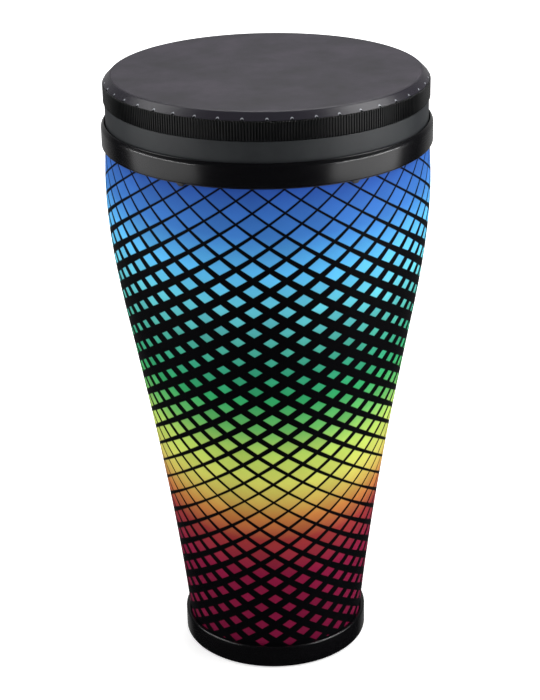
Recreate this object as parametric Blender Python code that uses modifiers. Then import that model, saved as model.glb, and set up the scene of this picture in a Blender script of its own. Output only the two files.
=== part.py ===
import math

import bmesh
import bpy
from mathutils import Matrix

# Timbal drum with a pre-tuned head that locks on with a six-lug twist collar.
# Metres, +Z up, origin under the middle of the foot, at the height it stands on.
# Radii are named ..._radius and are measured from the drum's axis.

# Shell outline, measured on the print. A flare is the radius gained per unit of height.
shell_height = 0.5404
foot_radius = 0.0891
foot_flare = 0.0872
belly_radius = 0.1588
belly_drop = 0.0404
shoulder_length = 0.1568
shoulder_draw_in = 0.0196
waist_flare = 0.1902
top_draw_in = 0.0016
top_flare = -0.0600
shell_wall = 0.0050
wrap_thickness = 0.0006

# Foot
foot_ring_height = 0.0237
foot_ring_wall = 0.0043
foot_ring_base = 0.0051
foot_ring_leg = 0.0034
foot_leg_height = 0.0103
foot_ring_corner = 0.0010
tread_width = 0.0060
tread_depth = 0.0024
tread_proud = 0.0006

# Neck ring, glued on the shell's top edge
neck_setback = 0.0025
neck_leg = 0.0030
neck_leg_depth = 0.0100
neck_ledge = 0.0033
lip_thickness = 0.0012
lip_overhang = 0.0009
tongue_width = 0.0070
tongue_drop = 0.0023
tongue_thickness = 0.0010

# Twist collar, the flat ring that keeps it on the neck, and the head's rubber seat
collar_height = 0.0226
collar_wall = 0.0025
collar_corner = 0.0006
collar_bevel_width = 0.0023
collar_bevel_height = 0.0038
collar_flange = 0.0048
retainer_overhang = 0.0032
retainer_thickness = 0.0020
gasket_width = 0.0038
gasket_thickness = 0.0020

# Screws that hold the flat ring down
screw_count = 6
screw_head_radius = 0.0023
screw_shank_radius = 0.0012
screw_length = 0.0095

# Bayonet lock. A stop block beside each collar lug meets a head lug at both ends of the turn.
lug_count = 6
head_lug_degrees = 22.0
head_lug_reach = 0.0034
head_lug_thickness = 0.0036
collar_lug_degrees = 26.0
collar_lug_thickness = 0.0038
collar_lug_ramp = 0.0009
stop_degrees = 4.0

# Head
spigot_setback = 0.0010
spigot_wall = 0.0058
head_shoulder_width = 0.0031
head_ring_show = 0.0195
head_ring_shelf = 0.0060
locating_lip_height = 0.0080
locating_lip_thickness = 0.0030
hoop_crown_setback = 0.0040
band_overhang = 0.0013
band_height = 0.0185
band_wall = 0.0016
rib_count = 360
rib_depth = 0.0008
tension_hoop_width = 0.0034
tension_hoop_height = 0.0120
bearing_setback = 0.0064
bearing_crown = 0.0015
skirt_drop = 0.0069
film_thickness = 0.0005
notch_count = 44
notch_width = 0.0028
notch_height = 0.0014

# Clearances: pieces that touch, pieces that turn, and a hole round its screw
seat_gap = 0.0003
turn_gap = 0.0006
hole_gap = 0.0003

# How finely round forms are divided
segments = 48
screw_segments = 10
bend_points = 4
lug_segments = 4
foot_parts = 3
shoulder_parts = 4

# Knots of the outline
belly_height = shell_height - belly_drop
waist_height = belly_height - shoulder_length
waist_radius = belly_radius - shoulder_draw_in
shell_top_radius = belly_radius - top_draw_in

# Heights, stacked from the print's upper edge
lip_under = shell_height
lip_top = lip_under + lip_thickness
ledge_under = lip_under - neck_ledge
collar_base = lip_top + seat_gap
collar_top = collar_base + collar_height
flange_top = collar_base + collar_flange
retainer_base = flange_top + turn_gap
neck_top = retainer_base - seat_gap
retainer_top = retainer_base + retainer_thickness
gasket_base = retainer_top + seat_gap
gasket_top = gasket_base + gasket_thickness
head_base = gasket_top + seat_gap
head_lug_base = head_base + seat_gap
head_lug_top = head_lug_base + head_lug_thickness
collar_lug_base = head_lug_top + turn_gap
collar_lug_top = collar_lug_base + collar_lug_thickness
head_shoulder = collar_lug_top + turn_gap
head_ring_top = collar_top + head_ring_show
band_base = head_ring_top + seat_gap
band_top = band_base + band_height
film_edge = band_top + seat_gap
drum_height = film_edge + skirt_drop


def round_clear(radius):
    """Radius of a faceted bore whose flats clear a faceted piece that turns in it."""
    return radius / math.cos(math.pi / segments) + turn_gap


# Radii, worked out from the shell's top edge
shell_edge_radius = shell_top_radius - wrap_thickness - seat_gap
lip_radius = shell_top_radius + lip_overhang
neck_radius = shell_edge_radius - neck_setback
neck_bore_radius = shell_edge_radius - shell_wall - seat_gap - neck_leg
screw_circle_radius = (neck_radius + neck_bore_radius) / 2
spigot_radius = neck_radius - spigot_setback
spigot_bore_radius = spigot_radius - spigot_wall
gasket_middle_radius = spigot_radius - spigot_wall / 2
head_lug_radius = spigot_radius + head_lug_reach
head_ring_radius = spigot_radius + head_shoulder_width
retainer_radius = neck_radius + retainer_overhang
collar_lug_radius = round_clear(spigot_radius)
collar_mouth_radius = round_clear(max(head_lug_radius, head_ring_radius))
collar_groove_radius = max(round_clear(retainer_radius), collar_mouth_radius + seat_gap)
collar_radius = collar_groove_radius + collar_wall
bearing_radius = head_ring_radius - bearing_setback
band_radius = head_ring_radius + band_overhang
head_hoop_radius = band_radius - band_wall - seat_gap
head_hoop_bore_radius = bearing_radius - hoop_crown_setback

# Angles of the lock
head_lug_angle = math.radians(head_lug_degrees)
collar_lug_angle = math.radians(collar_lug_degrees)
stop_angle = math.radians(stop_degrees)
gap_angle = seat_gap / head_lug_radius
turn_angle = 2 * math.pi / lug_count - head_lug_angle - stop_angle - 2 * gap_angle


def cubic(height, low, high):
    """Radius on a smooth stretch between two (height, radius, flare) knots."""
    span = high[0] - low[0]
    t = (height - low[0]) / span
    from_low = low[1] * (2 * t ** 3 - 3 * t ** 2 + 1) + span * low[2] * (t ** 3 - 2 * t ** 2 + t)
    from_high = high[1] * (3 * t ** 2 - 2 * t ** 3) + span * high[2] * (t ** 3 - t ** 2)
    return from_low + from_high


def smooth_radius(height):
    """Outside radius of the printed drum: concave foot, straight waist, round shoulder."""
    foot = (0.0, foot_radius, foot_flare)
    waist = (waist_height, waist_radius, waist_flare)
    belly = (belly_height, belly_radius, 0.0)
    top = (shell_height, shell_top_radius, top_flare)
    if height < waist_height:
        return cubic(height, foot, waist)
    if height < belly_height:
        return cubic(height, waist, belly)
    return cubic(height, belly, top)


def outline_heights():
    """Heights of the outline's points, closer together where it bends more."""
    heights = [0.0, foot_ring_height]
    for end, parts in ((waist_height, foot_parts), (belly_height, shoulder_parts), (shell_height, 1)):
        start = heights[-1]
        heights += [start + (end - start) * step / parts for step in range(1, parts + 1)]
    return heights


def outline_radius(height):
    """Radius on the straight runs between the outline's points, which all walls share."""
    heights = outline_heights()
    for low, high in zip(heights, heights[1:]):
        if height <= high:
            break
    along = (height - low) / (high - low)
    return smooth_radius(low) * (1 - along) + smooth_radius(high) * along


def wall_profile(low, high, outer_inset, inner_inset):
    """Closed section of a wall that follows the outline, set in from it."""
    heights = [low] + [z for z in outline_heights() if low < z < high] + [high]
    outer = [(outline_radius(z) - outer_inset, z) for z in reversed(heights)]
    inner = [(outline_radius(z) - inner_inset, z) for z in heights]
    return outer + inner


def bend(centre, radius, start_degrees, end_degrees):
    """Points on an arc in the section plane; 0 degrees points outwards, 90 up."""
    step = (end_degrees - start_degrees) / (bend_points - 1)
    turns = [math.radians(start_degrees + step * i) for i in range(bend_points)]
    return [(centre[0] + radius * math.cos(a), centre[1] + radius * math.sin(a)) for a in turns]


def finish(name, colour, roughness, metallic=0.0):
    material = bpy.data.materials.new(name)
    material.use_nodes = True
    shader = material.node_tree.nodes["Principled BSDF"]
    shader.inputs["Base Color"].default_value = (*colour, 1.0)
    shader.inputs["Roughness"].default_value = roughness
    shader.inputs["Metallic"].default_value = metallic
    return material


def place(name, mesh, material, collection):
    item = bpy.data.objects.new(name, mesh)
    if material:
        mesh.materials.append(material)
    collection.objects.link(item)
    return item


def as_cutter(item):
    item.hide_render = True
    item.display_type = "WIRE"
    return item


def turned(name, section, material, collection, closed=True, steps=segments):
    """Turn a section of (radius, height) points about Z. It runs down the outer side."""
    mesh = bpy.data.meshes.new(name)
    points = [(radius, 0.0, height) for radius, height in section]
    edges = [(i, i + 1) for i in range(len(points) - 1)]
    if closed:
        edges.append((len(points) - 1, 0))
    mesh.from_pydata(points, edges, [])
    item = place(name, mesh, material, collection)
    screw = item.modifiers.new("turn", "SCREW")
    screw.axis = "Z"
    screw.steps = steps
    screw.render_steps = steps
    screw.use_smooth_shade = True
    screw.use_merge_vertices = True
    screw.merge_threshold = 0.00001
    return item


def sector(name, section, start, sweep, steps, collection, ramp=0.0):
    """Part of a turned ring with closed ends. The underside lifts by ramp at the far end."""
    form = bmesh.new()
    points = [form.verts.new((r * math.cos(start), r * math.sin(start), z)) for r, z in section]
    face = form.faces.new(points)
    swept = [face] + list(form.verts) + list(form.edges)
    bmesh.ops.spin(form, geom=swept, axis=(0, 0, 1), cent=(0, 0, 0), angle=sweep, steps=steps)
    open_edges = [edge for edge in form.edges if edge.is_boundary]
    bmesh.ops.holes_fill(form, edges=open_edges, sides=0)
    lowest = min(z for _, z in section)
    last = start + sweep
    for point in form.verts:
        at_end = abs(math.atan2(point.co.y, point.co.x) - last) < 0.001
        if at_end and point.co.z < lowest + 0.00001:
            point.co.z += ramp
    bmesh.ops.recalc_face_normals(form, faces=form.faces)
    mesh = bpy.data.meshes.new(name)
    form.to_mesh(mesh)
    form.free()
    return place(name, mesh, None, collection)


def ring_of(name, source, count, first_angle, material, collection, offset=0.0):
    """One mesh with copies of a piece set evenly round the axis; the piece is then removed."""
    shape = bpy.data.meshes.new_from_object(source.evaluated_get(bpy.context.evaluated_depsgraph_get()))
    group = bmesh.new()
    for i in range(count):
        copy = bmesh.new()
        copy.from_mesh(shape)
        spin = Matrix.Rotation(first_angle + 2 * math.pi * i / count, 4, "Z")
        copy.transform(spin @ Matrix.Translation((offset, 0, 0)))
        turned_copy = bpy.data.meshes.new("copy")
        copy.to_mesh(turned_copy)
        group.from_mesh(turned_copy)
        copy.free()
        bpy.data.meshes.remove(turned_copy)
    mesh = bpy.data.meshes.new(name)
    group.to_mesh(mesh)
    group.free()
    bpy.data.objects.remove(source)
    bpy.data.meshes.remove(shape)
    return place(name, mesh, material, collection)


def combine(item, tool, operation):
    boolean = item.modifiers.new(operation.lower(), "BOOLEAN")
    boolean.operation = operation
    boolean.object = as_cutter(tool)


def make_shell(parts):
    low = tread_proud + foot_ring_base + seat_gap
    lacquered = finish("lacquered_fibre", (0.035, 0.030, 0.028), 0.55)
    outer = wrap_thickness + seat_gap
    turned("shell", wall_profile(low, ledge_under - seat_gap, outer, outer + shell_wall), lacquered, parts)
    cloth = finish("printed_cloth", (0.12, 0.30, 0.55), 0.60)
    turned("printed_wrap", wall_profile(low, lip_under - seat_gap, 0.0, wrap_thickness), cloth, parts)


def make_foot(parts):
    """U-shaped ring that the shell's lower edge stands in, with a rubber tread let into its underside."""
    gloss = finish("gloss_black_moulding", (0.010, 0.010, 0.012), 0.18)
    rubber = finish("tread_rubber", (0.020, 0.020, 0.020), 0.85)
    under = tread_proud
    floor = under + foot_ring_base
    corner = foot_ring_corner
    outer_leg_radius = outline_radius(foot_ring_height) + seat_gap
    ring_radius = outer_leg_radius + foot_ring_wall
    inner_leg_radius = outline_radius(floor) - wrap_thickness - shell_wall - 2 * seat_gap
    bore_radius = inner_leg_radius - foot_ring_leg
    leg_top = floor + foot_leg_height
    tread_middle = (ring_radius + bore_radius) / 2
    groove_out = tread_middle + tread_width / 2 + seat_gap
    groove_in = tread_middle - tread_width / 2 - seat_gap
    groove_top = tread_depth + seat_gap
    section = bend((ring_radius - corner, foot_ring_height - corner), corner, 90, 0)
    section += bend((ring_radius - corner, under + corner), corner, 0, -90)
    section += [(groove_out, under), (groove_out, groove_top), (groove_in, groove_top), (groove_in, under)]
    section += [(bore_radius, under), (bore_radius, leg_top)]
    section += [(inner_leg_radius, leg_top), (inner_leg_radius, floor)]
    section += [(outer_leg_radius, floor), (outer_leg_radius, foot_ring_height)]
    turned("foot_ring", section, gloss, parts)
    tread_out = tread_middle + tread_width / 2
    tread_in = tread_middle - tread_width / 2
    tread = [(tread_out, tread_depth), (tread_out, 0.0), (tread_in, 0.0), (tread_in, tread_depth)]
    turned("foot_tread", tread, rubber, parts)


def make_screw(name, growth, depth_growth, material, collection):
    """Countersunk screw along Z at the origin, or, with growth, the hole for it."""
    head = screw_head_radius + growth
    shank = screw_shank_radius + growth
    top = retainer_top + depth_growth
    cone_base = retainer_top - (screw_head_radius - screw_shank_radius)
    bottom = retainer_top - screw_length - growth
    section = [(0.0, top), (head, top)]
    if depth_growth:
        section.append((head, retainer_top))
    section += [(shank, cone_base), (shank, bottom), (0.0, bottom)]
    return turned(name, section, material, collection, closed=False, steps=screw_segments)


def make_neck(parts, cutters):
    """Neck ring, the ring that keeps the collar on it, their screws and the rubber seat."""
    moulding = finish("satin_black_moulding", (0.016, 0.016, 0.018), 0.35)
    steel = finish("zinc_plated_steel", (0.55, 0.55, 0.56), 0.35, 1.0)
    rubber = finish("seat_rubber", (0.020, 0.020, 0.020), 0.80)
    leg_end = ledge_under - neck_leg_depth
    inset = wrap_thickness + shell_wall + 2 * seat_gap
    leg_top_radius = outline_radius(ledge_under) - inset
    leg_end_radius = outline_radius(leg_end) - inset
    section = [(neck_radius, neck_top), (neck_radius, lip_top)]
    section += [(lip_radius, lip_top), (lip_radius, lip_under)]
    section += [(shell_edge_radius, lip_under), (shell_edge_radius, ledge_under)]
    section += [(leg_top_radius, ledge_under), (leg_end_radius, leg_end)]
    section += [(leg_end_radius - neck_leg, leg_end), (neck_bore_radius, ledge_under), (neck_bore_radius, neck_top)]
    neck = turned("neck_ring", section, moulding, parts)

    tongue_angle = tongue_width / lip_radius
    tongue_in = shell_top_radius + 2 * seat_gap
    tongue_out = tongue_in + tongue_thickness
    tongue_top = lip_top - seat_gap
    tongue_base = lip_under - tongue_drop
    outline = [(tongue_out, tongue_top), (tongue_out, tongue_base)]
    outline += [(tongue_in, tongue_base), (tongue_in, tongue_top)]
    tongue = sector("tongue", outline, -tongue_angle / 2, tongue_angle, 1, cutters)
    tongues = ring_of("tongues", tongue, lug_count, 0.0, None, cutters)
    combine(neck, tongues, "UNION")

    section = [(retainer_radius, retainer_top), (retainer_radius, retainer_base)]
    section += [(neck_bore_radius, retainer_base), (neck_bore_radius, retainer_top)]
    retainer = turned("collar_retainer", section, moulding, parts)

    half_pitch = math.pi / screw_count
    for i in range(screw_count):
        screw = make_screw("retainer_screw_" + str(i + 1), 0.0, 0.0, steel, parts)
        angle = half_pitch + 2 * half_pitch * i
        screw.location = (screw_circle_radius * math.cos(angle), screw_circle_radius * math.sin(angle), 0.0)
    hole = make_screw("screw_hole", hole_gap, turn_gap, None, cutters)
    holes = ring_of("screw_holes", hole, screw_count, half_pitch, None, cutters, screw_circle_radius)
    combine(retainer, holes, "DIFFERENCE")
    combine(neck, holes, "DIFFERENCE")

    outer = gasket_middle_radius + gasket_width / 2
    inner = gasket_middle_radius - gasket_width / 2
    section = [(outer, gasket_top), (outer, gasket_base), (inner, gasket_base), (inner, gasket_top)]
    turned("seat_gasket", section, rubber, parts)


def make_collar(parts, cutters):
    """Gloss collar that turns on the neck; its lugs ride over the head's lugs and hold them down."""
    gloss = finish("gloss_black_collar", (0.010, 0.010, 0.012), 0.12)
    bore_radius = round_clear(neck_radius)
    corner = collar_corner
    section = [(collar_radius - collar_bevel_width, collar_top)]
    section.append((collar_radius, collar_top - collar_bevel_height))
    section += bend((collar_radius - corner, collar_base + corner), corner, 0, -90)
    section += [(bore_radius, collar_base), (bore_radius, flange_top), (collar_groove_radius, flange_top)]
    section += [(collar_groove_radius, collar_lug_base), (collar_mouth_radius, collar_lug_base)]
    section += [(collar_mouth_radius, collar_top)]
    collar = turned("lock_collar", section, gloss, parts)

    rooted = (collar_groove_radius + collar_radius) / 2
    inner = collar_lug_radius
    lug_start = head_lug_angle / 2 + gap_angle + stop_angle
    outline = [(rooted, collar_lug_top), (rooted, collar_lug_base)]
    outline += [(inner, collar_lug_base), (inner, collar_lug_top)]
    lug = sector("collar_lug", outline, lug_start, collar_lug_angle, lug_segments, cutters, collar_lug_ramp)
    combine(collar, ring_of("collar_lugs", lug, lug_count, 0.0, None, cutters), "UNION")

    stop_top = collar_lug_top - seat_gap
    stop_base = head_lug_base + seat_gap
    stop_in = collar_lug_radius + seat_gap
    outline = [(rooted, stop_top), (rooted, stop_base), (stop_in, stop_base), (stop_in, stop_top)]
    stop = sector("stop", outline, lug_start - stop_angle, stop_angle + gap_angle, 1, cutters)
    combine(collar, ring_of("stops", stop, lug_count, 0.0, None, cutters), "UNION")


def make_head_ring(parts, cutters):
    """Grey ring of the head, with a spigot and six lugs that drop into the collar."""
    satin = finish("satin_grey_moulding", (0.050, 0.052, 0.056), 0.40)
    lip_out = head_hoop_bore_radius - seat_gap
    lip_in = lip_out - locating_lip_thickness
    lip_end = head_ring_top + locating_lip_height
    shelf_under = head_ring_top - head_ring_shelf
    section = [(lip_out, lip_end), (lip_out, head_ring_top), (head_ring_radius, head_ring_top)]
    section += [(head_ring_radius, head_shoulder), (spigot_radius, head_shoulder), (spigot_radius, head_base)]
    section += [(spigot_bore_radius, head_base), (spigot_bore_radius, head_shoulder)]
    section += [(lip_in, shelf_under), (lip_in, lip_end)]
    ring = turned("head_ring", section, satin, parts)

    rooted = (spigot_radius + spigot_bore_radius) / 2
    outline = [(head_lug_radius, head_lug_top), (head_lug_radius, head_lug_base)]
    outline += [(rooted, head_lug_base), (rooted, head_lug_top)]
    lug = sector("head_lug", outline, -head_lug_angle / 2, head_lug_angle, lug_segments, cutters)
    combine(ring, ring_of("head_lugs", lug, lug_count, 0.0, None, cutters), "UNION")


def make_hoop(parts):
    """Hoop with the bearing edge, and the steel ring let into it from below against the film's pull."""
    moulding = finish("hoop_moulding", (0.016, 0.016, 0.018), 0.45)
    steel = finish("rolled_steel", (0.50, 0.50, 0.51), 0.35, 1.0)
    under_film = film_thickness + seat_gap
    crown_top = drum_height - under_film
    outer = head_hoop_radius
    slope_foot = drum_height - under_film * math.sqrt(2) - (outer - bearing_radius)
    crown_radius = bearing_radius - film_thickness - bearing_crown * math.tan(math.radians(22.5))
    crown_centre = (crown_radius, crown_top - bearing_crown)
    groove_middle = (head_hoop_bore_radius + head_hoop_radius) / 2
    groove_in = groove_middle - tension_hoop_width / 2 - seat_gap
    groove_out = groove_middle + tension_hoop_width / 2 + seat_gap
    groove_top = band_base + tension_hoop_height + 2 * seat_gap
    section = bend(crown_centre, bearing_crown, 135, 45)
    section += [(outer, slope_foot), (outer, band_base)]
    section += [(groove_out, band_base), (groove_out, groove_top), (groove_in, groove_top), (groove_in, band_base)]
    section += [(head_hoop_bore_radius, band_base), (head_hoop_bore_radius, crown_top - 2 * bearing_crown)]
    turned("head_hoop", section, moulding, parts)
    outer = groove_out - seat_gap
    inner = groove_in + seat_gap
    top = groove_top - seat_gap
    base = band_base + seat_gap
    turned("tension_hoop", [(outer, top), (outer, base), (inner, base), (inner, top)], steel, parts)


def make_band(parts):
    """Ribbed band round the hoop: a flat outline with one tooth for each rib, raised to its height."""
    moulding = finish("ribbed_moulding", (0.014, 0.014, 0.016), 0.40)
    outline = bpy.data.curves.new("hoop_band", "CURVE")
    outline.dimensions = "2D"
    outline.fill_mode = "BOTH"
    outline.extrude = band_height / 2
    teeth = []
    for i in range(2 * rib_count):
        radius = band_radius - rib_depth * (i % 2)
        angle = math.pi * i / rib_count
        teeth.append((radius * math.cos(angle), radius * math.sin(angle)))
    bore = []
    bore_radius = band_radius - band_wall
    for i in range(segments):
        angle = 2 * math.pi * i / segments
        bore.append((bore_radius * math.cos(angle), bore_radius * math.sin(angle)))
    for ring in (teeth, bore):
        spline = outline.splines.new("POLY")
        spline.points.add(len(ring) - 1)
        for point, (x, y) in zip(spline.points, ring):
            point.co = (x, y, 0.0, 1.0)
        spline.use_cyclic_u = True
    band = bpy.data.objects.new("hoop_band", outline)
    band.location.z = band_base + band_height / 2
    outline.materials.append(moulding)
    parts.objects.link(band)


def make_film(parts, cutters):
    """Drumhead film: flat membrane, bend at the bearing edge, sloping skirt with a notched hem."""
    film_finish = finish("suede_film", (0.085, 0.080, 0.095), 0.75)
    hem_radius = bearing_radius + skirt_drop
    lean = film_thickness * math.sqrt(2)
    inner_bearing = bearing_radius - lean + film_thickness
    section = [(0.0, drum_height), (bearing_radius, drum_height), (hem_radius, film_edge)]
    section += [(hem_radius - lean, film_edge)]
    section += [(inner_bearing, drum_height - film_thickness), (0.0, drum_height - film_thickness)]
    film = turned("drumhead_film", section, film_finish, parts, closed=False)

    half_width = notch_width / 2 / hem_radius
    outer = hem_radius + notch_height
    inner = hem_radius - lean - 2 * notch_height
    outline = [(outer, film_edge + notch_height), (outer, film_edge - seat_gap / 2)]
    outline += [(inner, film_edge - seat_gap / 2), (inner, film_edge + notch_height)]
    notch = sector("notch", outline, -half_width, 2 * half_width, 1, cutters)
    combine(film, ring_of("notches", notch, notch_count, 0.0, None, cutters), "DIFFERENCE")


def build():
    for item in list(bpy.data.objects):
        bpy.data.objects.remove(item)
    parts = bpy.data.collections.new("timbal_drum")
    cutters = bpy.data.collections.new("cutters")
    bpy.context.scene.collection.children.link(parts)
    bpy.context.scene.collection.children.link(cutters)
    make_shell(parts)
    make_foot(parts)
    make_neck(parts, cutters)
    make_collar(parts, cutters)
    make_head_ring(parts, cutters)
    make_hoop(parts)
    make_band(parts)
    make_film(parts, cutters)
    print("drum height", round(drum_height, 4), "collar turns", round(math.degrees(turn_angle), 2), "degrees")


build()
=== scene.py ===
import bpy
import math
import numpy as np
from mathutils import Matrix, Vector


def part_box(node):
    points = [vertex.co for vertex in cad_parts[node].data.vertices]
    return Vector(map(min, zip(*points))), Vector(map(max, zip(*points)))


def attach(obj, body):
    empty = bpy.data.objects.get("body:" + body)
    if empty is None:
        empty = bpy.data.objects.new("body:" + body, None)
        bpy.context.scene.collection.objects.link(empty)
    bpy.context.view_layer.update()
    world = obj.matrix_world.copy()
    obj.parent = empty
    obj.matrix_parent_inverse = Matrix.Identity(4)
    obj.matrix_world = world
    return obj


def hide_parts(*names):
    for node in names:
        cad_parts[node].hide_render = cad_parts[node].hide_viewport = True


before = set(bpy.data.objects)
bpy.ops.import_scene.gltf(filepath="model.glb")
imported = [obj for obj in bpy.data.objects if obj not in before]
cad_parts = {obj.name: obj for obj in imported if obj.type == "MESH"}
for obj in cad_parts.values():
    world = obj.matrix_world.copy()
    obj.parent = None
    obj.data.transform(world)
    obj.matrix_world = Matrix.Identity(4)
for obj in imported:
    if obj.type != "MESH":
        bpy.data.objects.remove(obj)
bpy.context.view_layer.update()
scene = bpy.context.scene
print("frame loaded")


# Shared helpers

mm = 0.001
white = (1.0, 1.0, 1.0, 1.0)


def hexColour(code):
    # sRGB hex to linear light
    parts = [int(code[i:i + 2], 16) / 255 for i in (1, 3, 5)]
    linear = [c / 12.92 if c <= 0.04045 else ((c + 0.055) / 1.055) ** 2.4 for c in parts]
    return (*linear, 1.0)


def addNode(tree, kind, links=None, inputs=None, **settings):
    # one node with its settings, its fixed inputs and its incoming links
    node = tree.nodes.new(kind)
    for key, value in settings.items():
        setattr(node, key, value)
    for key, value in (inputs or {}).items():
        node.inputs[key].default_value = value
    for key, socket in (links or {}).items():
        tree.links.new(socket, node.inputs[key])
    return node


def newMaterial(name):
    material = bpy.data.materials.new(name)
    material.use_nodes = True
    tree = material.node_tree
    tree.nodes.clear()
    shader = addNode(tree, "ShaderNodeBsdfPrincipled")
    output = addNode(tree, "ShaderNodeOutputMaterial")
    tree.links.new(shader.outputs["BSDF"], output.inputs["Surface"])
    return material, tree, shader


def mathNode(tree, operation, first, second=None, third=None):
    links, inputs = {}, {}
    for index, value in enumerate((first, second, third)):
        if isinstance(value, (int, float)):
            inputs[index] = value
        elif value is not None:
            links[index] = value
    return addNode(tree, "ShaderNodeMath", links, inputs, operation=operation).outputs[0]


def rampNode(tree, factor, stops):
    # each stop is a place and what stands there: a hex colour or a plain value
    node = addNode(tree, "ShaderNodeValToRGB", {"Fac": factor})
    ramp = node.color_ramp
    while len(ramp.elements) < len(stops):
        ramp.elements.new(0.5)
    for element, (place, mark) in zip(ramp.elements, stops):
        element.position = place
        element.color = hexColour(mark) if isinstance(mark, str) else (mark, mark, mark, 1.0)
    return node.outputs["Color"]


def blendNode(tree, factor, first, second):
    # mixes two colours; each may be a socket or a fixed colour
    node = addNode(tree, "ShaderNodeMix", {"Factor": factor}, data_type="RGBA")
    sockets = [socket for socket in node.inputs if socket.type == "RGBA"]
    for socket, value in zip(sockets, (first, second)):
        if isinstance(value, tuple):
            socket.default_value = value
        else:
            tree.links.new(value, socket)
    return [socket for socket in node.outputs if socket.type == "RGBA"][0]


def objectPlace(tree, stretch=None):
    # The point in the piece's own metres. A stretch above 1 flattens a pattern into rings round the
    # drum, and one below 1 draws it out upwards.
    place = addNode(tree, "ShaderNodeTexCoord").outputs["Object"]
    if stretch is None:
        return place
    mapping = addNode(tree, "ShaderNodeMapping", {"Vector": place}, {"Scale": (1.0, 1.0, stretch)})
    return mapping.outputs["Vector"]


def noiseAt(tree, place, size, detail, roughness=0.5, twist=0.0):
    # cloudy pattern; size is the width of one patch of it
    inputs = {"Scale": 1 / size, "Detail": detail, "Roughness": roughness, "Distortion": twist}
    return addNode(tree, "ShaderNodeTexNoise", {"Vector": place}, inputs).outputs["Fac"]


def swingRough(tree, shader, pattern, look):
    # roughness goes up and down with the pattern, round its middle value
    swing = mathNode(tree, "SUBTRACT", pattern, 0.5)
    rough = mathNode(tree, "MULTIPLY_ADD", swing, look["roughSwing"], look["rough"])
    tree.links.new(rough, shader.inputs["Roughness"])


def setBump(tree, shader, height, distance, strength=1.0):
    bump = addNode(tree, "ShaderNodeBump", {"Height": height}, {"Distance": distance, "Strength": strength})
    tree.links.new(bump.outputs["Normal"], shader.inputs["Normal"])


def meshPiece(name, vertices, quads, material, body, triangles=None):
    # whole arrays go into the mesh with foreach_set
    mesh = bpy.data.meshes.new(name)
    faces = [quads] + ([triangles] if triangles is not None else [])
    loops = np.concatenate([face.ravel() for face in faces])
    sizes = np.concatenate([np.full(len(face), face.shape[1]) for face in faces])
    starts = np.concatenate([[0], np.cumsum(sizes)[:-1]])
    mesh.vertices.add(len(vertices))
    mesh.vertices.foreach_set("co", np.asarray(vertices, np.float32).ravel())
    mesh.loops.add(len(loops))
    mesh.loops.foreach_set("vertex_index", loops.astype(np.int32))
    mesh.polygons.add(len(sizes))
    mesh.polygons.foreach_set("loop_start", starts.astype(np.int32))
    mesh.polygons.foreach_set("use_smooth", np.ones(len(sizes), bool))
    mesh.update(calc_edges=True)
    mesh.materials.append(material)
    piece = bpy.data.objects.new(name, mesh)
    scene.collection.objects.link(piece)
    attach(piece, body)
    return piece


def evenAngles(count):
    return np.arange(count) * 2 * np.pi / count


def turnedVertices(angles, rows):
    # A row is a radius and a height, each one number or an array with a value at every angle.
    # Its points stand at radius times cosine and sine of the angle, at that height.
    level = np.zeros_like(angles)
    radii = np.stack([radius + level for radius, height in rows])
    heights = np.stack([height + level for radius, height in rows])
    return np.stack([radii * np.cos(angles), radii * np.sin(angles), heights], axis=-1).reshape(-1, 3)


def gridQuads(rows, columns, closedSection=True):
    # four corners of every face of a grid that closes round the drum; its last row joins the first
    # where the section is closed
    faceRows = rows if closedSection else rows - 1
    row, column = np.meshgrid(np.arange(faceRows), np.arange(columns), indexing="ij")
    nextRow = (row + 1) % rows
    nextColumn = (column + 1) % columns
    corners = [row * columns + column, nextRow * columns + column,
               nextRow * columns + nextColumn, row * columns + nextColumn]
    return np.stack(corners, axis=-1).reshape(-1, 4)


def turnedPiece(name, angles, rows, material, body, sharp=35):
    # a section carried round the drum's axis; edges sharper than sharp, in degrees, stay crisp
    quads = gridQuads(len(rows), len(angles))
    piece = meshPiece(name, turnedVertices(angles, rows), quads, material, body)
    piece.data.set_sharp_from_angle(angle=math.radians(sharp))
    return piece


def roundedSection(points, roundings, arcPoints=5):
    # A closed section with its corners rounded: each corner point becomes a short quadratic curve
    # that starts and ends one rounding away from it along its two edges.
    points = np.asarray(points, float)
    out = []
    count = len(points)
    longest = 0.45  # share of an edge that a rounding may take
    t = np.linspace(0, 1, arcPoints)[:, None]
    for i in range(count):
        corner = points[i]
        before = points[i - 1] - corner
        after = points[(i + 1) % count] - corner
        size = min(roundings[i], longest * np.hypot(*before), longest * np.hypot(*after))
        if size <= 0:
            out.append(corner[None, :])
            continue
        start = corner + before / np.hypot(*before) * size
        end = corner + after / np.hypot(*after) * size
        out.append((1 - t) ** 2 * start + 2 * t * (1 - t) * corner + t ** 2 * end)
    return np.concatenate(out)


def wallSection(outer, inner, heights):
    # down the outside and up the inside of a thin wall
    return np.concatenate([np.stack([outer, heights], 1)[::-1], np.stack([inner, heights], 1)])


def lugMask(angles, centre, halfWidth, count, ease):
    # 1 over each of the lugs set evenly round, 0 between, with a short ramp at each end
    pitch = 2 * np.pi / count
    away = np.abs((angles - centre + pitch / 2) % pitch - pitch / 2)
    return np.clip((halfWidth - away) / ease + 0.5, 0, 1)


def meshPoints(node):
    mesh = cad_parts[node].data
    flat = np.empty(len(mesh.vertices) * 3, np.float32)
    mesh.vertices.foreach_get("co", flat)
    return flat.reshape(-1, 3)


def nodeRadii(node):
    # innermost and outermost radius of a CAD node, read from its own mesh
    points = meshPoints(node)
    across = np.hypot(points[:, 0], points[:, 1])
    return float(across.min()), float(across.max())


def nodeHeights(node):
    low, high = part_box(node)
    return low.z, high.z


# Moulded and metal finishes

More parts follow.
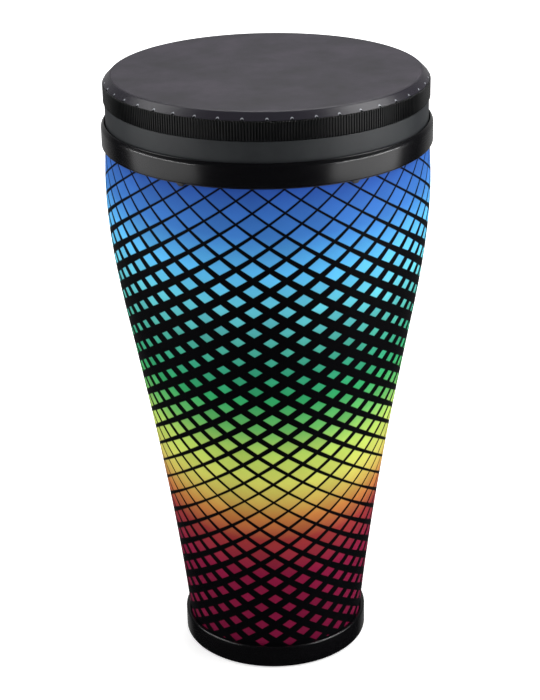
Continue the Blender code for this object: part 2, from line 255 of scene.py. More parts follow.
# black ABS as it leaves the mould: soft, wide highlights
satinBlackLook = {"dark": "#131316", "light": "#1b1b1f", "grain": 0.5 * mm, "depth": 0.03 * mm,
                  "patch": 20 * mm, "rough": 0.38, "roughSwing": 0.12, "gloss": 0.5}
# the same black on the ribs: each one only a thin dim line
ribbedBlackLook = {"dark": "#08090a", "light": "#0f1011", "grain": 0.4 * mm, "depth": 0.02 * mm,
                   "patch": 12 * mm, "rough": 0.32, "roughSwing": 0.10, "gloss": 0.26}
# dark grey ABS with a duller mould face: an even satin grey
satinGreyLook = {"dark": "#26282b", "light": "#2e3133", "grain": 0.6 * mm, "depth": 0.03 * mm,
                 "patch": 25 * mm, "rough": 0.48, "roughSwing": 0.15, "gloss": 0.4}
# moulded rubber: nearly black and dull
rubberLook = {"dark": "#151515", "light": "#202020", "grain": 0.8 * mm, "depth": 0.08 * mm,
              "patch": 9 * mm, "rough": 0.75, "roughSwing": 0.15, "gloss": 0.5}
# polished black ABS: two clear highlights with soft ends
collarGlossLook = {"dark": "#070709", "light": "#0c0c0f", "line": 30 * mm, "stretch": 40.0,
                   "rough": 0.22, "roughSwing": 0.10, "depth": 0.004 * mm}
# the same on the foot, a little more handled
footGlossLook = {"dark": "#060608", "light": "#0b0b0d", "line": 25 * mm, "stretch": 25.0,
                 "rough": 0.22, "roughSwing": 0.10, "depth": 0.02 * mm}
# pressed wood fibre under a dark sealer: brown, matted and half dull
fibreLook = {"dark": "#2a221c", "light": "#574739", "fibre": 2.5 * mm, "stretch": 0.25,
             "twist": 1.2, "rough": 0.55, "depth": 0.3 * mm}
# zinc-plated screws: pale and bright
zincLook = {"dark": "#a8a9a6", "light": "#c9cac8", "streak": 3 * mm, "rough": 0.32, "depth": 0.03 * mm}
# plain rolled steel: a little darker and duller than the zinc
steelLook = {"dark": "#8f9090", "light": "#b0b1b1", "streak": 6 * mm, "rough": 0.36, "depth": 0.03 * mm}


def mouldedPlastic(name, look):
    # Injection-moulded ABS or rubber: the mould's spark-eroded grain breaks the highlight up finely,
    # and the gloss changes a little from patch to patch.
    material, tree, shader = newMaterial(name)
    place = objectPlace(tree)
    grain = noiseAt(tree, place, look["grain"], detail=3.0, roughness=0.6)
    setBump(tree, shader, grain, look["depth"])
    patch = noiseAt(tree, place, look["patch"], detail=4.0, roughness=0.55)
    colour = rampNode(tree, patch, [(0.3, look["dark"]), (0.7, look["light"])])
    tree.links.new(colour, shader.inputs["Base Color"])
    swingRough(tree, shader, patch, look)
    shader.inputs["Specular IOR Level"].default_value = look["gloss"]
    return material


def polishedPlastic(name, look):
    # Polished black ABS: deep black with clear soft highlights, and faint lines round the ring
    # where it has been handled and turned.
    material, tree, shader = newMaterial(name)
    lines = noiseAt(tree, objectPlace(tree, look["stretch"]), look["line"], detail=5.0, roughness=0.7)
    colour = rampNode(tree, lines, [(0.35, look["dark"]), (0.65, look["light"])])
    tree.links.new(colour, shader.inputs["Base Color"])
    swingRough(tree, shader, lines, look)
    setBump(tree, shader, lines, look["depth"])
    return material


def mouldedFibre(look):
    # wood fibre and resin wound and pressed, then sealed black-brown: matted short fibres show
    material, tree, shader = newMaterial("sealedWoodFibre")
    place = objectPlace(tree, look["stretch"])
    fibres = noiseAt(tree, place, look["fibre"], detail=8.0, roughness=0.75, twist=look["twist"])
    colour = rampNode(tree, fibres, [(0.35, look["dark"]), (0.7, look["light"])])
    tree.links.new(colour, shader.inputs["Base Color"])
    shader.inputs["Roughness"].default_value = look["rough"]
    setBump(tree, shader, fibres, look["depth"])
    return material


def paleSteel(name, look):
    # rolled or zinc-plated steel: pale and lightly streaked
    material, tree, shader = newMaterial(name)
    streak = noiseAt(tree, objectPlace(tree), look["streak"], detail=6.0)
    colour = rampNode(tree, streak, [(0.3, look["dark"]), (0.7, look["light"])])
    tree.links.new(colour, shader.inputs["Base Color"])
    shader.inputs["Metallic"].default_value = 1.0
    shader.inputs["Roughness"].default_value = look["rough"]
    setBump(tree, shader, streak, look["depth"])
    return material


# Printed wrap

wrapBase, wrapTop = nodeHeights("printed_wrap")
wrapLook = {
    "columns": 288,
    "rows": 150,
    "thickness": 0.5 * mm,
    "slopeShare": 1.0075,  # about the length of the tapering wall over its height
}
printLook = {
    "lozengeWide": 29 * mm,
    "lozengeTall": 22 * mm,
    "gapColour": "#050508",
    "edgeCrispness": 22.0,
    "darkestCell": 0.89,
    "cellSwing": 0.22,
    "rough": 0.55,
    "gloss": 0.06,
    "weavePitch": 0.9 * mm,  # drawn coarser than the real thread, so that it shows
    "weaveDepth": 0.04 * mm,
    "weaveStrength": 0.6,
    # share of the way up the wrap, and the dye there
    "dyes": [(0.00, "#6e0c34"), (0.20, "#821038"), (0.28, "#94302f"), (0.33, "#bc763a"),
             (0.41, "#cccc5e"), (0.47, "#b4d25e"), (0.53, "#66b85e"), (0.59, "#30a462"),
             (0.65, "#34a27c"), (0.71, "#4aac9e"), (0.78, "#62c8da"), (0.85, "#5cbcf4"),
             (0.92, "#3e7cca"), (1.00, "#2b52a8")],
    # share of the way up the wrap, and the gap as a share of a lozenge's width
    "gaps": [(0.00, 0.46), (0.14, 0.44), (0.22, 0.32), (0.30, 0.17), (0.36, 0.09), (0.43, 0.16),
             (0.51, 0.30), (0.60, 0.46), (0.68, 0.54), (0.75, 0.46), (0.82, 0.36), (0.88, 0.19),
             (0.94, 0.09), (1.00, 0.06)],
}


def edgeDistance(tree, diagonal):
    # 0 on a lattice line and 0.5 half way between two
    part = mathNode(tree, "FRACT", diagonal)
    centred = mathNode(tree, "SUBTRACT", part, 0.5)
    away = mathNode(tree, "ABSOLUTE", centred)
    return mathNode(tree, "SUBTRACT", 0.5, away)


def printedCloth(look):
    # Woven polyester printed flat with a lattice of lozenges, then wrapped on the shell: dull cloth
    # with bright dyes. The pattern reads the wrap's own UV map, in metres of flat cloth. Its lines
    # are where across over width plus or minus up over height is a whole number.
    material, tree, shader = newMaterial("printedWovenPolyester")
    cloth = addNode(tree, "ShaderNodeUVMap", uv_map="flatCloth")
    split = addNode(tree, "ShaderNodeSeparateXYZ", {"Vector": cloth.outputs["UV"]})
    across, up = split.outputs["X"], split.outputs["Y"]
    share = mathNode(tree, "DIVIDE", up, (wrapTop - wrapBase) * wrapLook["slopeShare"])
    acrossCells = mathNode(tree, "DIVIDE", across, look["lozengeWide"])
    upCells = mathNode(tree, "DIVIDE", up, look["lozengeTall"])
    rising = mathNode(tree, "ADD", acrossCells, upCells)
    falling = mathNode(tree, "SUBTRACT", acrossCells, upCells)
    nearest = mathNode(tree, "MINIMUM", edgeDistance(tree, rising), edgeDistance(tree, falling))
    halfGap = mathNode(tree, "MULTIPLY", rampNode(tree, share, look["gaps"]), 0.5)
    inside = mathNode(tree, "MULTIPLY", mathNode(tree, "SUBTRACT", nearest, halfGap), look["edgeCrispness"])
    mask = addNode(tree, "ShaderNodeClamp", {"Value": inside}).outputs[0]
    dye = rampNode(tree, share, look["dyes"])
    # each lozenge takes the dye a little lighter or darker
    cell = addNode(tree, "ShaderNodeCombineXYZ", {"X": mathNode(tree, "FLOOR", rising),
                                                  "Y": mathNode(tree, "FLOOR", falling)})
    chance = addNode(tree, "ShaderNodeTexWhiteNoise", {"Vector": cell.outputs[0]}, noise_dimensions="3D")
    luck = chance.outputs["Value"]
    brightness = mathNode(tree, "MULTIPLY_ADD", luck, look["cellSwing"], look["darkestCell"])
    varied = addNode(tree, "ShaderNodeVectorMath", {0: dye, "Scale": brightness}, operation="SCALE")
    mixed = blendNode(tree, mask, hexColour(look["gapColour"]), varied.outputs[0])
    tree.links.new(mixed, shader.inputs["Base Color"])
    shader.inputs["Roughness"].default_value = look["rough"]
    shader.inputs["Specular IOR Level"].default_value = look["gloss"]
    threads = [mathNode(tree, "SINE", mathNode(tree, "MULTIPLY", way, 2 * math.pi / look["weavePitch"]))
               for way in (across, up)]
    setBump(tree, shader, mathNode(tree, "MULTIPLY", *threads), look["weaveDepth"], look["weaveStrength"])
    return material


def smoothOutline(heights):
    # The wrap's outer radius at any height: a smooth curve through the rings of vertices of the CAD
    # wrap, in cubic stretches whose slope at a ring is the mean of its neighbours'.
    points = meshPoints("printed_wrap").astype(float)
    across = np.hypot(points[:, 0], points[:, 1])
    knots = np.unique(np.round(points[:, 2], 5))
    sameHeight = 0.02 * mm
    radii = np.array([across[np.abs(points[:, 2] - z) < sameHeight].max() for z in knots])
    slopes = np.gradient(radii, knots)
    index = np.clip(np.searchsorted(knots, heights) - 1, 0, len(knots) - 2)
    span = knots[index + 1] - knots[index]
    t = (heights - knots[index]) / span
    low = radii[index] * (2 * t ** 3 - 3 * t ** 2 + 1) + span * slopes[index] * (t ** 3 - 2 * t ** 2 + t)
    high = radii[index + 1] * (3 * t ** 2 - 2 * t ** 3) + span * slopes[index + 1] * (t ** 3 - t ** 2)
    return low + high


def makeWrap(material):
    # The printed skin: a turned wall that follows the outline. Its UV map is the cloth laid flat, as
    # a sector of a ring: a point keeps its distance up the wall and its angle is scaled by the
    # cone's spread, which is the growth of the radius over the length of the wall.
    columns = wrapLook["columns"]
    heights = np.linspace(wrapBase, wrapTop, wrapLook["rows"])
    outer = smoothOutline(heights)
    section = wallSection(outer, outer - wrapLook["thickness"], heights)
    angles = evenAngles(columns) + np.pi / 2  # the seam is at the back
    piece = turnedPiece("printedWrap", angles, section, material, "drum_body")
    slant = np.concatenate([[0], np.cumsum(np.hypot(np.diff(outer), np.diff(heights)))])
    spread = (outer[-1] - outer[0]) / slant[-1]
    apex = outer[0] / spread
    mesh = piece.data
    loops = np.empty(len(mesh.loops), np.int32)
    mesh.loops.foreach_get("vertex_index", loops)
    column = (loops % columns).astype(float)
    faceColumn = np.repeat(np.arange(len(mesh.polygons)), 4) % columns
    column[(faceColumn == columns - 1) & (column == 0)] = columns
    flatAngle = (column * 2 * np.pi / columns - np.pi) * spread
    reach = apex + np.concatenate([slant[::-1], slant])[loops // columns]
    flat = np.stack([reach * np.sin(flatAngle), reach * np.cos(flatAngle) - apex], 1)
    mesh.uv_layers.new(name="flatCloth").data.foreach_set("uv", flat.astype(np.float32).ravel())
    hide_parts("printed_wrap")


# Shell and foot

shellLook = {"rows": 90, "columns": 240, "underWrap": 0.9 * mm, "wall": 5.0 * mm}


def makeShell(material):
    # the fibre shell inside the wrap, a turned wall that follows the same outline
    base, top = nodeHeights("shell")
    heights = np.linspace(base, top, shellLook["rows"])
    outer = smoothOutline(heights) - shellLook["underWrap"]
    section = wallSection(outer, outer - shellLook["wall"], heights)
    piece = turnedPiece("fibreShell", evenAngles(shellLook["columns"]), section, material,
                        "drum_body")
    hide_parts("shell")


footLook = {"columns": 240, "gap": 0.3 * mm, "leg": 3.4 * mm, "legTall": 10.3 * mm}


def makeFootRing(material):
    # U-shaped gloss ring under the shell, with soft corners and a groove for the tread
    base, top = nodeHeights("foot_ring")
    inner, outer = nodeRadii("foot_ring")
    treadIn, treadOut = nodeRadii("foot_tread")
    gap = footLook["gap"]
    treadTop = nodeHeights("foot_tread")[1] + gap
    wallIn = float(smoothOutline(np.array([top]))[0]) + gap
    floor = nodeHeights("shell")[0] - gap
    legOut = inner + footLook["leg"]
    legTop = floor + footLook["legTall"]
    # radius, height and rounding of each corner, with the roundings in mm
    corners = [(wallIn, top, 0.4), (outer, top, 1.6), (outer, base, 1.2), (treadOut + gap, base, 0.2),
               (treadOut + gap, treadTop, 0), (treadIn - gap, treadTop, 0), (treadIn - gap, base, 0.2),
               (inner, base, 0.8), (inner, legTop, 0.8), (legOut, legTop, 0.5), (legOut, floor, 0),
               (wallIn, floor, 0)]
    section = roundedSection([corner[:2] for corner in corners], [corner[2] * mm for corner in corners])
    piece = turnedPiece("footRing", evenAngles(footLook["columns"]), section, material,
                        "drum_body")
    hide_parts("foot_ring")


# Twist lock: neck, collar and the head's ring

lockLook = {
    "count": 6,
    "columns": 720,
    "headLug": math.radians(22.0),
    "collarLug": math.radians(26.0),
    "stop": math.radians(4.0),
    "play": math.radians(0.11),
    "ease": math.radians(0.5),
}
neckLook = {
    "neck": 153.8 * mm, "bore": 148.0 * mm,
    # lip that lies over the cloth's edge
    "lipOut": 158.1 * mm, "overCloth": 0.3 * mm, "lipTall": 1.2 * mm, "lipBevel": 0.3 * mm,
    # leg that goes down inside the shell
    "ledgeOut": 156.3 * mm, "ledgeDrop": 3.3 * mm,
    "legTop": 151.0 * mm, "legEnd": 151.4 * mm, "legWall": 3.0 * mm,
    # tongues below the lip, which show under the collar
    "tongueHalf": 3.5 * mm, "tongueDrop": 2.3 * mm, "tongueIn": 157.8 * mm, "tongueOut": 158.7 * mm,
    "tongueBevel": 0.2 * mm,
}


def makeNeck(material):
    # neck ring glued on the shell: lip over the cloth's edge, six short tongues below it, neck above
    look = neckLook
    base, top = nodeHeights("neck_ring")
    angles = evenAngles(lockLook["columns"]) + np.pi / lockLook["columns"]
    lipUnder = wrapTop + look["overCloth"]
    lipTop = lipUnder + look["lipTall"]
    lipOut, bevel, tongueBevel = look["lipOut"], look["lipBevel"], look["tongueBevel"]
    ledge = lipUnder - look["ledgeDrop"]
    tongues = lugMask(angles, 0.0, look["tongueHalf"] / lipOut, lockLook["count"], lockLook["ease"])
    drop = lipUnder - tongues * look["tongueDrop"]
    swell = lipOut + tongues * (look["tongueOut"] - lipOut)
    rows = [(look["bore"], top), (look["neck"], top), (look["neck"], lipTop), (lipOut - bevel, lipTop),
            (swell, lipTop - bevel), (swell, drop + tongueBevel), (swell - tongueBevel, drop),
            (look["tongueIn"], drop), (look["tongueIn"], lipUnder), (look["ledgeOut"], lipUnder),
            (look["ledgeOut"], ledge), (look["legTop"], ledge), (look["legEnd"], base),
            (look["legEnd"] - look["legWall"], base), (look["bore"], ledge)]
    piece = turnedPiece("neckRing", angles, rows, material, "drum_body")
    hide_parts("neck_ring")


collarLook = {
    # radii
    "mouth": 157.14 * mm, "groove": 157.94 * mm, "bore": 154.73 * mm,
    # heights above the collar's lower face
    "flange": 4.8 * mm, "stopBase": 10.6 * mm, "lugBase": 14.3 * mm, "lugTop": 18.1 * mm,
    # sizes
    "lugEasing": 0.05 * mm, "lugEdge": 0.6 * mm, "bevelWide": 2.3 * mm, "bevelTall": 3.8 * mm,
    "roundings": [0.5 * mm, 0.7 * mm, 1.4 * mm, 0.8 * mm, 0.3 * mm],
}


def makeCollar(material):
    # gloss collar: a turned section whose bore steps in at six lugs, with a stop block beside each
    look = collarLook
    base, top = nodeHeights("lock_collar")
    inner, outer = nodeRadii("lock_collar")
    count, ease = lockLook["count"], lockLook["ease"]
    stop, collarLug = lockLook["stop"], lockLook["collarLug"]
    angles = evenAngles(lockLook["columns"])
    lugStart = lockLook["headLug"] / 2 + lockLook["play"] + stop
    lugs = lugMask(angles, lugStart + collarLug / 2, collarLug / 2, count, ease)
    stops = lugMask(angles, lugStart - stop / 2, stop / 2, count, ease)
    both = np.maximum(lugs, stops)
    mouth, groove, bore = look["mouth"], look["groove"], look["bore"]
    flange, stopBase = base + look["flange"], base + look["stopBase"]
    lugBase, lugTop = base + look["lugBase"], base + look["lugTop"]
    lugIn = inner + look["lugEasing"]
    stopRow = groove - stops * (groove - lugIn)
    lugUnder = groove - both * (groove - lugIn)
    lugRow = mouth - both * (mouth - lugIn)
    outside = [(mouth, top), (outer - look["bevelWide"], top), (outer, top - look["bevelTall"]),
               (outer, base), (bore, base)]
    rows = list(roundedSection(outside, look["roundings"]))
    rows += [(bore, flange), (groove, flange), (groove, stopBase), (stopRow, stopBase), (stopRow, lugBase),
             (lugUnder, lugBase), (lugRow, lugTop - look["lugEdge"]), (lugRow, lugTop), (mouth, lugTop)]
    piece = turnedPiece("twistCollar", angles, rows, material, "twist_collar")
    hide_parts("lock_collar")


headRingLook = {
    # radii, and the lip's thickness
    "wall": 155.9 * mm, "spigot": 152.8 * mm, "bore": 147.0 * mm, "lip": 3.0 * mm,
    # heights: the shoulder above the floor, the next two down from the band
    "shoulder": 560.5 * mm, "underBand": 0.3 * mm, "shelfDrop": 6.0 * mm,
    # heights above the ring's lower end
    "lugBase": 0.3 * mm, "lugTop": 3.9 * mm,
    "roundings": [0.5 * mm, 0.5 * mm, 0, 0.7 * mm, 0.6 * mm, 0],
}


def makeHeadRing(material):
    # satin grey ring: plain wall that shows, spigot below it with six lugs, locating lip above
    look = headRingLook
    base, top = nodeHeights("head_ring")
    inner, lugOut = nodeRadii("head_ring")
    spigot, bore, shoulder, wall = look["spigot"], look["bore"], look["shoulder"], look["wall"]
    wallTop = nodeHeights("hoop_band")[0] - look["underBand"]
    shelf = wallTop - look["shelfDrop"]
    lipOut = inner + look["lip"]
    lugBase, lugTop = base + look["lugBase"], base + look["lugTop"]
    angles = evenAngles(lockLook["columns"])
    lugs = lugMask(angles, 0.0, lockLook["headLug"] / 2, lockLook["count"], lockLook["ease"])
    lugRow = spigot + lugs * (lugOut - spigot)
    outside = [(inner, top), (lipOut, top), (lipOut, wallTop), (wall, wallTop), (wall, shoulder),
               (spigot, shoulder)]
    rows = list(roundedSection(outside, look["roundings"]))
    rows += [(spigot, lugTop), (lugRow, lugTop), (lugRow, lugBase), (spigot, lugBase), (spigot, base),
             (bore, base), (bore, shoulder), (inner, shelf)]
    piece = turnedPiece("headRing", angles, rows, material, "head_unit")
    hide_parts("head_ring")


# Ribbed band

bandLook = {"ribs": 360, "perRib": 8, "depth": 0.85 * mm, "ends": 1.3 * mm, "endRows": 4,
            "ridgeGain": 1.5, "ridgeLift": 0.6, "insideEasing": 0.02 * mm}


def makeBand(material):
    # Ribbed band: the radius swells as a rounded ridge once every degree, a cosine that is raised
    # and cut off flat at its crest and root, and each ridge dies away at its top and bottom.
    look = bandLook
    base, top = nodeHeights("hoop_band")
    inner, outer = nodeRadii("hoop_band")
    inner += look["insideEasing"]
    root = outer - look["depth"]
    angles = evenAngles(look["ribs"] * look["perRib"])
    ridge = np.clip(np.cos(angles * look["ribs"]) * look["ridgeGain"] + look["ridgeLift"], 0, 1)
    run = np.linspace(0, 1, look["endRows"])
    fade = np.sin(run * np.pi / 2)
    levels = np.concatenate([top - run * look["ends"], base + run[::-1] * look["ends"]])
    strengths = np.concatenate([fade, fade[::-1]])
    rows = [(root + strength * look["depth"] * ridge, level) for strength, level in zip(strengths, levels)]
    rows += [(inner, base), (inner, top)]
    piece = turnedPiece("ribbedBand", angles, rows, material, "head_unit")
    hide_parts("hoop_band")


# Drumhead film

filmLook = {
    "columns": 1760,
    "thickness": 0.45 * mm,
    "underShift": 0.42,  # how far the underside's bend sets in, as a share of the thickness
    "notches": 44,
    "notchWide": 2.8 * mm,
    "notchHigh": 1.4 * mm,
    "bend": 2.2 * mm,
    "bendRows": 6,
    "discShares": (0.02, 0.25, 0.5, 0.75, 0.9, 0.97),
    "skirtShares": (0.55, 0.8, 0.93, 1.0),
    "lipSpread": 1.6,
    "sharp": 60,
}
coatLook = {
    "coat": "#2a2630",
    "coatDark": "#1f1c24",
    "coatLight": "#352f3a",
    "skirt": "#2a282f",
    # the pale colour drawn round each notch on the hem
    "lip": "#a3a6ad",
    "grain": 0.7 * mm,
    "grainDepth": 0.06 * mm,
    "grainShare": 0.35,
    "cloud": 45 * mm,
    "skirtStart": 0.8 * mm,
    "roughFlat": 0.62,
    "roughSkirt": 0.27,
    "gloss": 0.28,
}


def suedeFilm(look):
    # Polyester film with a sprayed velvet-like coat: dull, dark grey, a little cloudy. The skirt below
    # the bearing edge is the same coat stretched smooth, so it shines more.
    material, tree, shader = newMaterial("suedeCoatedPolyester")
    place = objectPlace(tree)
    grain = noiseAt(tree, place, look["grain"], detail=3.0, roughness=0.6)
    setBump(tree, shader, grain, look["grainDepth"])
    cloud = noiseAt(tree, place, look["cloud"], detail=6.0, roughness=0.65)
    mix = mathNode(tree, "MULTIPLY_ADD", grain, look["grainShare"], cloud)
    spread = mathNode(tree, "SUBTRACT", mix, look["grainShare"] / 2)
    coats = [(0.32, look["coatDark"]), (0.5, look["coat"]), (0.68, look["coatLight"])]
    colour = rampNode(tree, spread, coats)
    split = addNode(tree, "ShaderNodeSeparateXYZ", {"Vector": place})
    down = mathNode(tree, "SUBTRACT", nodeHeights("drumhead_film")[1], split.outputs["Z"])
    onSkirt = mathNode(tree, "MINIMUM", mathNode(tree, "MULTIPLY", down, 1 / look["skirtStart"]), 1.0)
    coat = blendNode(tree, onSkirt, colour, hexColour(look["skirt"]))
    # mask that turns the colour pale round each notch on the hem
    paleAtNotch = addNode(tree, "ShaderNodeAttribute", attribute_name="paleAtNotch")
    paledCoat = blendNode(tree, paleAtNotch.outputs["Fac"], coat, hexColour(look["lip"]))
    tree.links.new(paledCoat, shader.inputs["Base Color"])
    polish = look["roughSkirt"] - look["roughFlat"]
    rough = mathNode(tree, "MULTIPLY_ADD", onSkirt, polish, look["roughFlat"])
    tree.links.new(rough, shader.inputs["Roughness"])
    shader.inputs["Specular IOR Level"].default_value = look["gloss"]
    return material


def makeFilm(material):
    # Drumhead film: flat disc, a small rolled bend at the bearing edge, a 45 degree skirt, and a hem
    # that rises by a rounded notch 44 times round. The underside is the same surface set in.
    look = filmLook
    columns, thickness, bend = look["columns"], look["thickness"], look["bend"]
    base, top = nodeHeights("drumhead_film")
    outer = nodeRadii("drumhead_film")[1]
    drop = top - base
    edge = outer - drop
    angles = evenAngles(columns)
    pitch = 2 * np.pi / look["notches"]
    away = np.abs((angles + pitch / 2) % pitch - pitch / 2) * outer
    notchShare = np.sqrt(np.clip(1 - (away / (look["notchWide"] / 2)) ** 2, 0, 1))
    notch = notchShare * look["notchHigh"]
    discRadii = edge * np.array(look["discShares"])
    corner = np.array([[edge, top]])
    start = corner - np.array([[bend, 0]])
    finish = corner + np.array([[bend, -bend]]) * math.sqrt(0.5)
    t = np.linspace(0, 1, look["bendRows"])[:, None]
    rolled = (1 - t) ** 2 * start + 2 * t * (1 - t) * corner + t ** 2 * finish
    rows = [(radius, top) for radius in discRadii] + list(rolled)
    for part in look["skirtShares"]:
        along = part * (drop - notch)
        rows.append((edge + along, top - along))
    hemRow = len(rows) - 1
    rows.append((rows[hemRow][0] - thickness, rows[hemRow][1]))
    shift = thickness * look["underShift"]
    bendAndSkirt = rows[len(discRadii):hemRow]
    rows += [(radius - shift, height - thickness) for radius, height in reversed(bendAndSkirt)]
    rows += [(radius, top - thickness) for radius in discRadii[::-1]]
    vertices = turnedVertices(angles, rows)
    topCentre = len(vertices)
    ring = np.arange(columns)
    nextRing = (ring + 1) % columns
    last = topCentre - columns
    topFan = np.stack([np.full(columns, topCentre), ring, nextRing], 1)
    underFan = np.stack([np.full(columns, topCentre + 1), last + nextRing, last + ring], 1)
    triangles = np.concatenate([topFan, underFan])
    vertices = np.concatenate([vertices, [[0, 0, top], [0, 0, top - thickness]]])
    quads = gridQuads(len(rows), columns, closedSection=False)
    piece = meshPiece("drumheadFilm", vertices, quads, material, "head_unit", triangles)
    # the film's colour turns pale round each notch, along the hem's edge
    notchPale = np.zeros((len(rows), columns), np.float32)
    notchPale[hemRow - 1:hemRow + 2] = np.clip(notchShare * look["lipSpread"], 0, 1)
    layer = piece.data.attributes.new("paleAtNotch", "FLOAT", "POINT")
    layer.data.foreach_set("value", np.concatenate([notchPale.ravel(), np.zeros(2, np.float32)]))
    piece.data.set_sharp_from_angle(angle=math.radians(look["sharp"]))
    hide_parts("drumhead_film")


# Camera, light and floor

cameraLook = {"lift": math.radians(23.075), "roll": math.radians(-1.008), "away": 1.8649, "aim": 0.3175,
              "focalPixels": 1829.7, "pictureHeight": 700, "sidePixels": 1.08, "sensor": 36.0}


def makeCamera():
    # fitted to the drum's rings in the 540 x 700 picture
    view = cameraLook
    camera = bpy.data.objects.new("pictureCamera", bpy.data.cameras.new("pictureCamera"))
    cosLift, sinLift = math.cos(view["lift"]), math.sin(view["lift"])
    cosRoll, sinRoll = math.cos(view["roll"]), math.sin(view["roll"])
    right, up, back = Vector((1, 0, 0)), Vector((0, sinLift, cosLift)), Vector((0, -cosLift, sinLift))
    rolledRight = right * cosRoll + up * sinRoll
    rolledUp = up * cosRoll - right * sinRoll
    place = Vector((0, 0, view["aim"])) + back * view["away"]
    matrix = Matrix((rolledRight, rolledUp, back)).transposed().to_4x4()
    camera.matrix_world = Matrix.Translation(place) @ matrix
    camera.data.sensor_width = view["sensor"]
    camera.data.lens = view["focalPixels"] / view["pictureHeight"] * view["sensor"]
    camera.data.shift_x = -view["sidePixels"] / view["pictureHeight"]
    scene.collection.objects.link(camera)
    scene.camera = camera


# Two low upright panels give the collar its two highlights and leave the foot dark.
# Two high ones light the head's skirt at the sides; between low and high the collar's bevel sees little.
# A thin strip over each low panel draws the faint line along the collar's upper edge.
# The small one behind draws the thin line on the head's front edge.
# A turn of 0 degrees is in front of the drum, at the camera's side. Level is the height of the
# panel's middle, aim the height it faces, away its distance in metres and power in watts.
softBoxes = {
    "leftBox": {"turn": -75, "level": 0.32, "aim": 0.32, "away": 1.9, "size": (2.0, 1.28), "power": 11},
    "rightBox": {"turn": 70, "level": 0.32, "aim": 0.32, "away": 1.9, "size": (2.0, 1.28), "power": 17},
    "highLeftBox": {"turn": -110, "level": 2.35, "aim": 0.6, "away": 1.7, "size": (1.1, 1.0), "power": 14},
    "highRightBox": {"turn": 98, "level": 2.35, "aim": 0.6, "away": 1.5, "size": (1.0, 1.0), "power": 24},
    "leftStrip": {"turn": -75, "level": 1.08, "aim": 0.5, "away": 1.9, "size": (1.9, 0.08), "power": 12},
    "rightStrip": {"turn": 70, "level": 1.08, "aim": 0.5, "away": 1.9, "size": (1.8, 0.08), "power": 16},
    "topBox": {"turn": 174, "level": 2.0, "aim": 0.4, "away": 1.1, "size": (1.1, 0.5), "power": 18},
}


def makeLights():
    # each panel stands at its turn round the drum and faces a point on the drum's axis
    for name, panel in softBoxes.items():
        turn = math.radians(panel["turn"])
        away = panel["away"]
        place = Vector((math.sin(turn) * away, -math.cos(turn) * away, panel["level"]))
        toDrum = Vector((0, 0, panel["aim"])) - place
        light = bpy.data.lights.new(name, "AREA")
        light.shape = "RECTANGLE"
        light.size, light.size_y = panel["size"]
        light.energy = panel["power"]
        lamp = bpy.data.objects.new(name, light)
        lamp.matrix_world = Matrix.Translation(place) @ toDrum.to_track_quat("-Z", "Y").to_matrix().to_4x4()
        scene.collection.objects.link(lamp)


worldLook = {"paleFrom": 0.6, "paleTo": 0.95, "dimRoom": 0.01, "paleBack": 0.36, "ambient": 0.27}


def makeWorld():
    # White to the camera. Gloss sees a pale backdrop straight behind the drum and a dim room
    # elsewhere, and all else gets an even low light.
    world = bpy.data.worlds.new("paleStudio")
    world.use_nodes = True
    scene.world = world
    tree = world.node_tree
    tree.nodes.clear()
    path = addNode(tree, "ShaderNodeLightPath")
    direction = addNode(tree, "ShaderNodeTexCoord")
    split = addNode(tree, "ShaderNodeSeparateXYZ", {"Vector": direction.outputs["Generated"]})
    behind = addNode(tree, "ShaderNodeMapRange", {"Value": split.outputs["Y"]},
                     {"From Min": worldLook["paleFrom"], "From Max": worldLook["paleTo"],
                      "To Min": worldLook["dimRoom"], "To Max": worldLook["paleBack"]})
    seen = mathNode(tree, "MAXIMUM", path.outputs["Is Glossy Ray"], path.outputs["Is Transmission Ray"])
    glossy = mathNode(tree, "MULTIPLY", seen, behind.outputs["Result"])
    notSeen = mathNode(tree, "SUBTRACT", 1.0, seen)
    ambient = mathNode(tree, "MULTIPLY", notSeen, worldLook["ambient"])
    soft = mathNode(tree, "ADD", glossy, ambient)
    strength = mathNode(tree, "MAXIMUM", soft, path.outputs["Is Camera Ray"])
    shade = addNode(tree, "ShaderNodeBackground", {"Strength": strength}, {"Color": white})
    output = addNode(tree, "ShaderNodeOutputWorld")
    tree.links.new(shade.outputs[0], output.inputs["Surface"])


floorLook = {"size": 12, "below": 0.4 * mm, "paper": "#f2f2f2", "glow": 0.44, "glowPerMetre": 0.35}


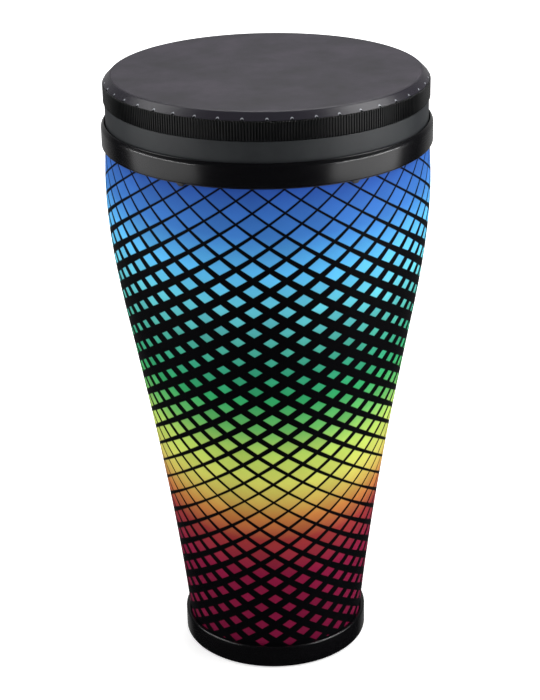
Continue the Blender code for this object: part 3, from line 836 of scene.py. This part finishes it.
def makeFloor():
    # a wide pale sheet, white to the camera apart from the drum's soft shadow; gloss doesn't see it
    bpy.ops.mesh.primitive_plane_add(size=floorLook["size"], location=(0, 0, -floorLook["below"]))
    floor = bpy.context.object
    floor.name = "paleFloor"
    material = bpy.data.materials.new("palePaper")
    material.use_nodes = True
    tree = material.node_tree
    tree.nodes.clear()
    path = addNode(tree, "ShaderNodeLightPath")
    paper = addNode(tree, "ShaderNodeBsdfDiffuse", None, {"Color": hexColour(floorLook["paper"])})
    # the sheet glows a little more away from the drum, where the lamps reach it less
    place = objectPlace(tree)
    reach = addNode(tree, "ShaderNodeVectorMath", {0: place}, operation="LENGTH")
    reached = reach.outputs["Value"]
    level = mathNode(tree, "MULTIPLY_ADD", reached, floorLook["glowPerMetre"], floorLook["glow"])
    toCamera = mathNode(tree, "MULTIPLY", path.outputs["Is Camera Ray"], level)
    glow = addNode(tree, "ShaderNodeEmission", {"Strength": toCamera}, {"Color": white})
    both = addNode(tree, "ShaderNodeAddShader", {0: paper.outputs[0], 1: glow.outputs[0]})
    output = addNode(tree, "ShaderNodeOutputMaterial")
    tree.links.new(both.outputs[0], output.inputs["Surface"])
    floor.data.materials.append(material)
    floor.visible_glossy = False


# Making the scene

makeCamera()
makeLights()
makeWorld()
makeFloor()
print("camera, lights and floor made")

blackSatin = mouldedPlastic("satinBlackAbs", satinBlackLook)
rubberBlack = mouldedPlastic("mouldedRubber", rubberLook)
zincPlate = paleSteel("zincPlatedSteel", zincLook)
rolledSteel = paleSteel("rolledSteel", steelLook)

makeWrap(printedCloth(printLook))
makeShell(mouldedFibre(fibreLook))
makeFootRing(polishedPlastic("glossBlackAbs", footGlossLook))
makeNeck(blackSatin)
makeCollar(polishedPlastic("polishedBlackAbs", collarGlossLook))
print("body made")
makeHeadRing(mouldedPlastic("satinGreyAbs", satinGreyLook))
makeBand(mouldedPlastic("ribbedBlackAbs", ribbedBlackLook))
makeFilm(suedeFilm(coatLook))
print("head made")

keptNodes = {"collar_retainer": blackSatin, "head_hoop": blackSatin, "seat_gasket": rubberBlack,
             "foot_tread": rubberBlack, "tension_hoop": rolledSteel}
keptNodes.update({"retainer_screw_" + str(i): zincPlate for i in range(1, 7)})
for nodeName, nodeFinish in keptNodes.items():
    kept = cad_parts[nodeName]
    kept.data.materials.clear()
    kept.data.materials.append(nodeFinish)
print("hidden pieces finished")

scene.view_settings.view_transform = "Standard"
print("finished")
